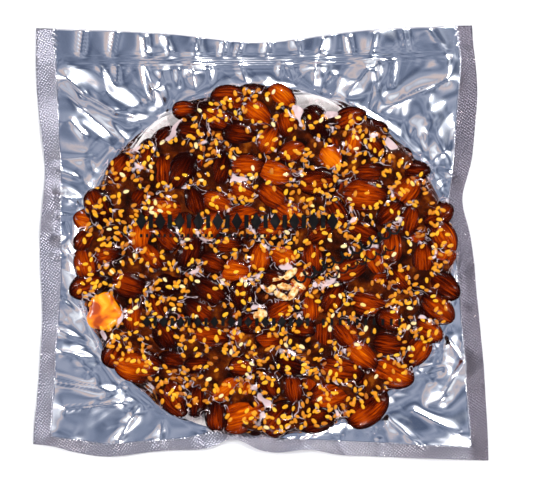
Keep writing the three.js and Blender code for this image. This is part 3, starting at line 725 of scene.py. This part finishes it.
theta = np.linspace(0, math.pi, 8)[1:-1]
x, v = np.meshgrid(-np.cos(theta), np.linspace(0, 2 * math.pi, 9, endpoint=False), indexing="ij")
chipped = np.random.default_rng(RANDOM_SEED + 2).uniform(0.7, 1.25, (len(splinters), *x.shape))
wide = np.sqrt(1 - x[None] ** 2) * chipped
shard = np.stack([x[None] * splinters[:, 3, None, None] / 2, wide * np.cos(v) * splinters[:, 4, None, None] / 2,
                  wide * np.sin(v) * SPLINTER_HEIGHT / 2], -1).reshape(len(splinters), -1, 3)
tips = np.zeros((len(splinters), 2, 3))
tips[:, 0, 0], tips[:, 1, 0] = -splinters[:, 3] / 2, splinters[:, 3] / 2
shard = turned(np.concatenate([shard, tips], 1), splinters[:, 2])
shard += np.column_stack([splinters[:, :2], splinters[:, 5] - SPLINTER_HEIGHT / 2])[:, None]
broken = mesh_piece("broken_almond", shard.reshape(-1, 3), nut_faces(len(splinters), *x.shape), flesh)
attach(broken, "root")
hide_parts("clear_front_with_brittle")

# ------------------------------------------------------------------------------------ height of the cake
# What the clear film lies on: a map of half-millimetre squares that holds the highest thing at each
# place. Caramel fills the hollows between the nuts, deeper in some gaps.
SQUARE = 0.5
MAP_LOW, MAP_HIGH = np.array([-118, -122]), np.array([122, 100])
columns, rows = ((MAP_HIGH - MAP_LOW) / SQUARE).astype(int) + 1
map_x, map_y = np.meshgrid(MAP_LOW[0] + SQUARE * np.arange(columns), MAP_LOW[1] + SQUARE * np.arange(rows))
map_points = np.dstack([map_x, map_y])
CARAMEL_LEVEL = 9.2
PEEK_DEPTH = 6            # mm that the caramel stays back where the wafer peeks out
GAPS = [(-39, -11, 6), (-16, -50.5, 4.5), (1, -86, 4), (-62, 60, 4), (24, 68, 5), (-2, 8, 3), (31, -20, 4)]


def window(middle, reach):
    """Slices of the map that hold every square within reach of a place."""
    low = np.clip(((np.array(middle) - reach - MAP_LOW) / SQUARE).astype(int), 0, None)
    high = ((np.array(middle) + reach - MAP_LOW) / SQUARE).astype(int) + 2
    return slice(low[1], high[1]), slice(low[0], high[0])


def blurred(heights, spread):
    """The map smoothed by a bell of that spread in mm, by multiplying its waves: exp(-2 (pi f s)^2)."""
    waves = np.fft.rfft2(heights)
    fy = np.fft.fftfreq(heights.shape[0], SQUARE)[:, None]
    fx = np.fft.rfftfreq(heights.shape[1], SQUARE)[None]
    return np.fft.irfft2(waves * np.exp(-2 * (math.pi * spread) ** 2 * (fx ** 2 + fy ** 2)), heights.shape)


def read_map(heights, points):
    """The map's height at places between its squares, as a weighted mean of the four around."""
    spot = np.clip((points - MAP_LOW) / SQUARE, 0, np.array([columns, rows]) - 1.001)
    cell, part = spot.astype(int), spot % 1
    cx, cy, px, py = cell[..., 0], cell[..., 1], part[..., 0], part[..., 1]
    lower_row = heights[cy, cx] * (1 - px) + heights[cy, cx + 1] * px
    upper_row = heights[cy + 1, cx] * (1 - px) + heights[cy + 1, cx + 1] * px
    return lower_row * (1 - py) + upper_row * py


nut_map = np.zeros(map_x.shape)
for (ax, ay, turn, size, top), tilt in zip(almonds, np.tan(lean[:, 0])):
    part = window((ax, ay), size / 2)
    dx, dy = map_x[part] - ax, map_y[part] - ay
    c, s = math.cos(math.radians(turn)), math.sin(math.radians(turn))
    u, w = (dx * c + dy * s) * 2 / size, (dy * c - dx * s) * 2 / (size * ALMOND_WIDTH)
    slim = nut_width(np.clip(u, -1, 1))
    rise = slim * np.sqrt(np.clip(1 - (w / np.maximum(slim, 1e-6)) ** 2, 0, 1))
    height = np.where((np.abs(u) < 1) & (rise > 0), top - ALMOND_HEIGHT / 2 * (1 - rise) - u * size / 2 * tilt, 0)
    nut_map[part] = np.maximum(nut_map[part], height)

for lx, ly, wide, deep, top in [(*LUMP, *LUMP_SIZE, LUMP_TOP)] + [(*row[:2], row[3], row[4] + 1, row[5]) for row in SPLINTERS]:
    rise = np.sqrt(np.clip(1 - ((map_x - lx) * 2 / wide) ** 2 - ((map_y - ly) * 2 / deep) ** 2, 0, 1))
    nut_map = np.maximum(nut_map, np.where(rise > 0, top - 2.5 * (1 - rise), 0))
inside = smooth(-outside_rim(map_points) - PEEK_DEPTH * wafer_peeks(map_points), 0.3, 5)
gap_depth = sum(bell(np.hypot(map_x - gx, map_y - gy), size / 2) for gx, gy, size in GAPS)
caramel_map = CARAMEL_LEVEL + 0.8 * np.sin(map_x / 5.3 + np.sin(map_y / 4.1)) * np.cos(map_y / 6.1)
crevice = blurred(nut_map, 1.1) - 0.4
filled = smooth(blurred((nut_map > 0) * 1.0, 2.5), 0.22, 0.5)
caramel_map = WAFER_THICKNESS + (caramel_map - WAFER_THICKNESS) * filled * inside * (1 - 0.9 * np.clip(gap_depth, 0, 1))
caramel_map = np.maximum(caramel_map, np.where(nut_map > 7, crevice, 0))
beside_lump = smooth(np.hypot((map_x - LUMP[0]) / LUMP_SIZE[0], (map_y - LUMP[1]) / LUMP_SIZE[1]), 0.42, 0.5)
caramel_map = LUMP_BOTTOM + (caramel_map - LUMP_BOTTOM) * beside_lump
surface_map = np.maximum(nut_map, caramel_map)

# ------------------------------------------------------------------------------------------- caramel
# Boiled sugar, poured hot over the nuts and set as dark amber glass: it fills the hollows, rises
# against each nut, and is rounded off at the cake's rim.
caramel_glass = bpy.data.materials.new("set_caramel")
caramel_glass.use_nodes = True
shader = caramel_glass.node_tree.nodes["Principled BSDF"]
where = add(caramel_glass, "ShaderNodeTexCoord")
depths = add(caramel_glass, "ShaderNodeTexNoise", {"Vector": where.outputs["Object"], "Scale": 160, "Detail": 3.0})
ambers = add(caramel_glass, "ShaderNodeValToRGB", {"Fac": depths.outputs["Fac"]}, stops=[
    (0.35, "#120300"), (0.5, "#320D00"), (0.62, "#521C00"), (0.75, "#864206")])
runs = add(caramel_glass, "ShaderNodeBump", {"Height": depths.outputs["Fac"], "Strength": 0.5, "Distance": 0.001})
caramel_glass.node_tree.links.new(ambers.outputs["Color"], shader.inputs["Base Color"])
caramel_glass.node_tree.links.new(runs.outputs["Normal"], shader.inputs["Normal"])
shader.inputs["Roughness"].default_value = 0.3
shader.inputs["Specular IOR Level"].default_value = 0.05

caramel_steps = AROUND
caramel_rings = np.concatenate([np.linspace(0.02, 0.9, 90), np.linspace(0.91, 1.0, 12)])
caramel_plan = sheet_plan(caramel_rings)
caramel_top = read_map(caramel_map, caramel_plan)
caramel_top[-1] = wafer_floor + WAFER_THICKNESS
top = np.concatenate([[[*CAKE_MIDDLE, CARAMEL_LEVEL]], np.dstack([caramel_plan, caramel_top]).reshape(-1, 3)])
base_ring = np.column_stack([caramel_plan[-1], np.full(AROUND, wafer_floor + WAFER_THICKNESS - 0.3)])
fan, quads = sheet_faces(len(caramel_rings))
count = len(top)
last = count - AROUND + np.arange(AROUND)
following = count - AROUND + (np.arange(AROUND) + 1) % AROUND
wall = np.stack([following, last, last - (count - AROUND) + count, following - (count - AROUND) + count], -1)
base_middle = count + AROUND
under = np.stack([np.full(AROUND, base_middle), wall[:, 3], wall[:, 2]], -1)
caramel = mesh_piece("caramel", np.concatenate([top, base_ring, [[*CAKE_MIDDLE, wafer_floor + WAFER_THICKNESS - 0.3]]]),
                     [fan, quads, wall, under], caramel_glass)
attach(caramel, "root")
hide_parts("clear_front_with_brittle")

# -------------------------------------------------------------------------------------- sesame seeds
# Toasted sesame seeds, 3.1 x 2 mm teardrops, scattered through the caramel and stuck on the nuts.
# They lie on a sunflower spiral's places, each nudged, turned and thinned out by a seeded draw.
SEED_SIZE = np.array([3.4, 2.15, 1.0])
SEED_PLACES = 2600
SEED_RINGS, SEED_STEPS = 4, 7

draws = np.random.default_rng(RANDOM_SEED + 1)
place_number = np.arange(SEED_PLACES)
reach = np.sqrt((place_number + 0.5) / SEED_PLACES)
spiral = place_number * math.pi * (3 - math.sqrt(5))
spots = CAKE_MIDDLE + (CAKE_HALF - 2) * reach[:, None] * np.column_stack([np.cos(spiral), np.sin(spiral)])
spots += draws.normal(0, 1.1, spots.shape)
clump = np.sin(spots[:, 0] / 6.7 + 1.3 * np.sin(spots[:, 1] / 9.1)) * np.cos(spots[:, 1] / 7.9 + np.sin(spots[:, 0] / 11))
bare = (read_map(nut_map, spots) > ALMOND_TOP - 2.4) & (outside_rim(spots) < -14)
on_lump = np.hypot(spots[:, 0] - LUMP[0], spots[:, 1] - LUMP[1]) < 8
on_splinter = np.hypot(spots[:, 0] - 14, spots[:, 1] + 22) < 9
keep = ~on_lump & ~on_splinter & (draws.uniform(0, 1, SEED_PLACES) < 0.74 + 0.42 * clump - 0.35 * bare) & (outside_rim(spots) + (PEEK_DEPTH + 1) * wafer_peeks(spots) < -0.8)
spots = spots[keep]
seed_count = len(spots)
soft_surface = blurred(surface_map, 0.6)
slope_y, slope_x = np.gradient(soft_surface, SQUARE)
normal = np.column_stack([-read_map(slope_x, spots), -read_map(slope_y, spots), np.ones(seed_count)])
normal[:, :2] *= np.minimum(1, 0.9 / np.maximum(np.hypot(normal[:, 0], normal[:, 1]), 1e-6))[:, None]
normal /= np.linalg.norm(normal, axis=1)[:, None]
heading = draws.uniform(0, 2 * math.pi, seed_count)
forward = np.column_stack([np.cos(heading), np.sin(heading), np.zeros(seed_count)])
forward -= normal * np.sum(forward * normal, 1)[:, None]
forward /= np.linalg.norm(forward, axis=1)[:, None]
sideways = np.cross(normal, forward)
theta = np.linspace(0, math.pi, SEED_RINGS + 2)[1:-1]
x, v = np.meshgrid(-np.cos(theta), np.linspace(0, 2 * math.pi, SEED_STEPS, endpoint=False), indexing="ij")
half = nut_width(x)
seed = np.stack([x, half * np.cos(v), half * np.sin(v)], -1).reshape(-1, 3)
seed = np.concatenate([seed, [[-1, 0, 0], [1, 0, 0]]]) * SEED_SIZE / 2
size = draws.uniform(0.85, 1.12, seed_count)[:, None, None]
axes = np.stack([forward, sideways, normal], 1)
seeds = np.einsum("vk,nkc->nvc", seed, axes) * size
seed_height = np.maximum(read_map(soft_surface, spots) + 0.15, 2.0)
seeds += np.column_stack([spots, seed_height])[:, None]
# The seeds are lighter the higher they lie and darker low down between the nuts; about one in twenty is pale.
near_top = smooth(seed_height, 7.5, 12.5)
tone = np.clip(0.22 + 0.4 * near_top + draws.normal(0, 0.17, seed_count), 0, 0.95)
tone[draws.uniform(0, 1, seed_count) < 0.05] = 1.0

toasted = bpy.data.materials.new("toasted_sesame")
toasted.use_nodes = True
shader = toasted.node_tree.nodes["Principled BSDF"]
tone_value = add(toasted, "ShaderNodeAttribute", attribute_name="tone")
golds = add(toasted, "ShaderNodeValToRGB", {"Fac": tone_value.outputs["Fac"]}, stops=[
    (0.0, "#A25200"), (0.35, "#DC8C00"), (0.65, "#F0AC0C"), (0.88, "#F6C230"), (1.0, "#F6DE9C")])
toasted.node_tree.links.new(golds.outputs["Color"], shader.inputs["Base Color"])
shader.inputs["Roughness"].default_value = 0.4
shader.inputs["Specular IOR Level"].default_value = 0.3
sesame = mesh_piece("sesame_seeds", seeds.reshape(-1, 3), nut_faces(seed_count, SEED_RINGS, SEED_STEPS), toasted)
paint(sesame, "tone", np.repeat(tone, SEED_RINGS * SEED_STEPS + 2))
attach(sesame, "root")
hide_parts("clear_front_with_brittle")

# -------------------------------------------------------------------------------------- clear front film
# Clear polyamide and polyethylene film, drawn tight: between the nuts it sags like a soap film under
# even pressure, and on the flange it lies on the back film. It shows by its sharp reflections alone.
SAG = 0.24                # 1/mm, the film's curvature where it hangs free
STRETCH_STEPS = 320
FILM_GAP = 0.2
POCKET_DEPTH = 0.68        # mm of air under the film where it starts to look milky


def drape(support, sag, steps):
    """A stretched film on a support: every square goes to its four neighbours' mean less sag x
    square^2 / 4, and never below the support."""
    film = support.copy()
    for _ in range(steps):
        mean = (np.roll(film, 1, 0) + np.roll(film, -1, 0) + np.roll(film, 1, 1) + np.roll(film, -1, 1)) / 4
        film = np.maximum(support, mean - sag * SQUARE ** 2 / 4)
    return film


seed_map = np.zeros(map_x.shape)
for (sx, sy), angle_, height in zip(spots, heading, seed_height):
    part = window((sx, sy), SEED_SIZE[0] / 2)
    dx, dy = map_x[part] - sx, map_y[part] - sy
    u = (dx * math.cos(angle_) + dy * math.sin(angle_)) * 2 / SEED_SIZE[0]
    w = (dy * math.cos(angle_) - dx * math.sin(angle_)) * 2 / SEED_SIZE[1]
    rise = np.sqrt(np.clip(1 - u ** 2 - w ** 2, 0, 1))
    seed_map[part] = np.maximum(seed_map[part], np.where(rise > 0, height + SEED_SIZE[2] / 2 * rise, 0))
flange_map = flange_height(map_points) + FILM_THICKNESS
beyond = outside_wafer(map_points)
wafer_map = (wafer_floor + WAFER_THICKNESS + 0.12 + WAFER_CURL * smooth(beyond, -12, 0)) * (beyond < 0.5)
support_map = np.max([surface_map, seed_map, flange_map, wafer_map], 0) + FILM_GAP
film_map = drape(support_map, SAG, STRETCH_STEPS)
outer = smooth(outside_rim(map_points), 14, 20)
pocket_map = blurred(film_map - surface_map - FILM_GAP, 0.6)
loose_map = blurred(film_map - support_map, 0.4)
film_map = film_map * (1 - outer) + (flange_map + FILM_GAP) * outer

clear_film = bpy.data.materials.new("clear_vacuum_film")
clear_film.use_nodes = True
tree = clear_film.node_tree
tree.nodes.remove(tree.nodes["Principled BSDF"])
where = add(clear_film, "ShaderNodeTexCoord")
weld = add(clear_film, "ShaderNodeAttribute", attribute_name="weld")
slant = add(clear_film, "ShaderNodeMapping", {"Vector": where.outputs["Object"], "Rotation": (0, 0, 0.6),
                                              "Scale": (1000 / DIMPLE_PITCH,) * 3})
dimples = add(clear_film, "ShaderNodeTexVoronoi", {"Vector": slant.outputs["Vector"], "Scale": 1.0, "Randomness": 0.25},
              voronoi_dimensions="2D")
pressed = add(clear_film, "ShaderNodeMath", {0: dimples.outputs["Distance"], 1: weld.outputs["Fac"]}, operation="MULTIPLY")
dimpled = add(clear_film, "ShaderNodeBump", {"Height": pressed.outputs["Value"], "Strength": 0.8, "Distance": 0.0006})
wrinkle = add(clear_film, "ShaderNodeTexNoise", {"Vector": where.outputs["Object"], "Scale": 260, "Detail": 2.0,
                                                 "Distortion": 0.8})
wrinkled = add(clear_film, "ShaderNodeBump", {"Height": wrinkle.outputs["Fac"], "Strength": 0.06, "Distance": 0.0007,
                                              "Normal": dimpled.outputs["Normal"]})
# Where the film spans a hollow there is air under it, and it shows milky white: partly the air's milkiness, partly
# painted glints, a rough pinkish shine far stronger than the film's own reflection. Where it sticks to the caramel it
# is clear, and only its upper face reflects.
POCKET_SHINE, POCKET_ROUGHNESS = 0.65, 0.7
air_depth = add(clear_film, "ShaderNodeAttribute", attribute_name="air")
ragged = add(clear_film, "ShaderNodeTexNoise", {"Vector": where.outputs["Object"], "Scale": 210, "Detail": 2.0})
ragged_depth = add(clear_film, "ShaderNodeMath", {0: ragged.outputs["Fac"], 1: 1.2, 2: air_depth.outputs["Fac"]},
                   operation="MULTIPLY_ADD")
pocket = add(clear_film, "ShaderNodeMapRange", {"Value": ragged_depth.outputs["Value"], "From Min": POCKET_DEPTH + 0.6,
                                                "From Max": POCKET_DEPTH + 0.85})
# Thin bright lines cross the hollows, painted glints where wrinkles in the film would catch the light: the lines along
# which a slow noise passes its middle value.
WRINKLE_WIDTH = 0.022     # of the noise's whole range
loops = add(clear_film, "ShaderNodeTexNoise", {"Vector": where.outputs["Object"], "Scale": 130, "Detail": 1.5,
                                               "Distortion": 1.0})
beside = add(clear_film, "ShaderNodeMath", {0: loops.outputs["Fac"], 1: 0.5}, operation="SUBTRACT")
aside = add(clear_film, "ShaderNodeMath", {0: beside.outputs["Value"]}, operation="ABSOLUTE")
line = add(clear_film, "ShaderNodeMapRange", {"Value": aside.outputs["Value"], "From Min": WRINKLE_WIDTH, "From Max": 0.0})
loose = add(clear_film, "ShaderNodeAttribute", attribute_name="loose")
lifted_off = add(clear_film, "ShaderNodeMapRange", {"Value": loose.outputs["Fac"], "From Min": 0.06, "From Max": 0.25})
painted_wrinkle_glints = add(clear_film, "ShaderNodeMath", {0: line.outputs["Result"], 1: lifted_off.outputs["Result"]},
               operation="MULTIPLY")
air = add(clear_film, "ShaderNodeMath", {0: painted_wrinkle_glints.outputs["Value"], 1: pocket.outputs["Result"]}, operation="MAXIMUM")
mirror = add(clear_film, "ShaderNodeFresnel", {"IOR": 1.13, "Normal": wrinkled.outputs["Normal"]})
# Painted glints: in the pockets and along the wrinkle lines the film reflects up to POCKET_SHINE, roughly and tinted
# pink, far above its own Fresnel reflection.
milk_and_painted_glint = add(clear_film, "ShaderNodeMath", {0: air.outputs["Value"], 1: POCKET_SHINE}, operation="MULTIPLY")
shining = add(clear_film, "ShaderNodeMath", {0: mirror.outputs["Fac"], 1: milk_and_painted_glint.outputs["Value"]}, operation="ADD",
              use_clamp=True)
blurring = add(clear_film, "ShaderNodeMapRange", {"Value": air.outputs["Value"], "To Min": 0.05, "To Max": POCKET_ROUGHNESS})
shine = add(clear_film, "ShaderNodeBsdfGlossy", {"Color": linear("#F8E2E2"), "Roughness": blurring.outputs["Result"],
                                                 "Normal": wrinkled.outputs["Normal"]})
through = add(clear_film, "ShaderNodeBsdfTransparent", {"Color": (1, 1, 1, 1)})
film_look = add(clear_film, "ShaderNodeMixShader", {0: shining.outputs["Value"], 1: through.outputs["BSDF"],
                                                    2: shine.outputs["BSDF"]})
tree.links.new(film_look.outputs["Shader"], tree.nodes["Material Output"].inputs["Surface"])

front_rings = np.concatenate([np.linspace(0.01, 1.12, 118), np.linspace(1.145, 2.0, 32)])
front_plan = sheet_plan(front_rings)
in_map = np.all((front_plan > MAP_LOW + 1) & (front_plan < MAP_HIGH - 1), -1)
front_height = np.where(in_map, read_map(film_map, front_plan),
                        flange_height(front_plan) + FILM_THICKNESS + FILM_GAP)
lip = smooth(seam_place(front_plan), 3, 9)
front_height += 0.7 * lip
fan, quads = sheet_faces(len(front_rings))
front = np.concatenate([[[*CAKE_MIDDLE, read_map(film_map, CAKE_MIDDLE)]], np.dstack([front_plan, front_height]).reshape(-1, 3)])
front_film = mesh_piece("clear_front", front, [fan, quads], clear_film)
paint(front_film, "weld", np.concatenate([[0], weld_mask(front_plan).ravel()]))
for name, heights, margin in (("air", pocket_map, 4), ("loose", loose_map, -3)):
    on_cake = smooth(-outside_rim(front_plan), margin, margin + 2) * in_map
    paint(front_film, name, np.concatenate([[0], (read_map(heights, front_plan) * on_cake).ravel()]))
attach(front_film, "root")
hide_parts("clear_front_with_brittle")

# ---------------------------------------------------------------------------------------- black print
# Printed on the clear film in black ink: plain rows of lozenges and bars, and a slanting wavy line.
# Each mark is a small grid of faces that follows the film, just above it.
INK_ABOVE = 0.3          # mm over the film
MARKS_ALONG, MARKS_ACROSS = 6, 6
# Rows of marks: x from, x to, y, pitch, mark width, mark height, and 1 for lozenges between the bars.
PRINT_ROWS = [
    (-65, 40, 11.6, 5.2, 3.4, 7.2, 1),
    (-65, 15, 3.9, 3.2, 1.9, 1.8, 0),
    (-62, 26, -43.0, 4.6, 2.6, 4.4, 1),
    (34, 76, -43.0, 4.6, 2.2, 3.6, 0),
]
marks = []
for x_from, x_to, row_y, pitch, wide, high, fancy in PRINT_ROWS:
    places = np.arange(x_from, x_to, pitch)
    for number, place in enumerate(places):
        lozenge = fancy and number % 2 == 0
        marks.append((place, row_y, wide * (1.25 if lozenge else 0.7), high, lozenge))
u, w = np.meshgrid(np.linspace(-0.5, 0.5, MARKS_ALONG + 1), np.linspace(-0.5, 0.5, MARKS_ACROSS + 1))
square = np.stack([u, w], -1)
lozenge_shape = np.stack([u - w, u + w], -1) * 0.5
inked = [np.array([mx, my]) + (lozenge_shape * 2 ** 0.5 if lozenge else square) * [wide, high]
         for mx, my, wide, high, lozenge in marks]
cell = np.arange(MARKS_ALONG * (MARKS_ACROSS + 1)).reshape(-1, MARKS_ALONG + 1)[:, :MARKS_ALONG].ravel()
cell_quads = np.stack([cell, cell + 1, cell + MARKS_ALONG + 2, cell + MARKS_ALONG + 1], -1)
mark_points = np.concatenate([mark.reshape(-1, 2) for mark in inked])
mark_quads = (cell_quads + np.arange(len(inked))[:, None, None] * (MARKS_ALONG + 1) * (MARKS_ACROSS + 1)).reshape(-1, 4)

# The wavy line: from, to, waves, wave height, and the pen's half width, all in mm save the waves.
FLOURISHES = [((18, -21), (74, 8), 11, 2.4, 0.55), ((36, -19), (72, -2), 7, 1.6, 0.4)]
pen_points, pen_quads = [], []
for start, end, waves, swing, pen in FLOURISHES:
    way = np.linspace(0, 1, 240)
    run = np.array(end) - start
    across = np.array([-run[1], run[0]]) / np.linalg.norm(run)
    line = start + way[:, None] * run + (swing * np.sin(2 * math.pi * waves * way))[:, None] * across
    line += (0.6 * swing * np.cos(2 * math.pi * waves * way))[:, None] * run / np.linalg.norm(run)
    heading_ = np.gradient(line, axis=0)
    side = np.stack([-heading_[:, 1], heading_[:, 0]], -1) / np.linalg.norm(heading_, axis=1)[:, None] * pen
    first = len(mark_points) + sum(map(len, pen_points))
    here = first + 2 * np.arange(len(way) - 1)
    pen_points.append(np.stack([line + side, line - side], 1).reshape(-1, 2))
    pen_quads.append(np.stack([here, here + 1, here + 3, here + 2], -1))
plan = np.concatenate([mark_points, *pen_points])
ink = bpy.data.materials.new("black_print")
ink.use_nodes = True
shader = ink.node_tree.nodes["Principled BSDF"]
shader.inputs["Base Color"].default_value = linear("#0A0808")
shader.inputs["Roughness"].default_value = 0.5
shader.inputs["Specular IOR Level"].default_value = 0.1
ink_height = read_map(film_map, plan) + INK_ABOVE
print_ = mesh_piece("black_print", np.column_stack([plan, ink_height]), [mark_quads, np.concatenate(pen_quads)], ink)
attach(print_, "root")
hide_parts("clear_front_with_brittle")
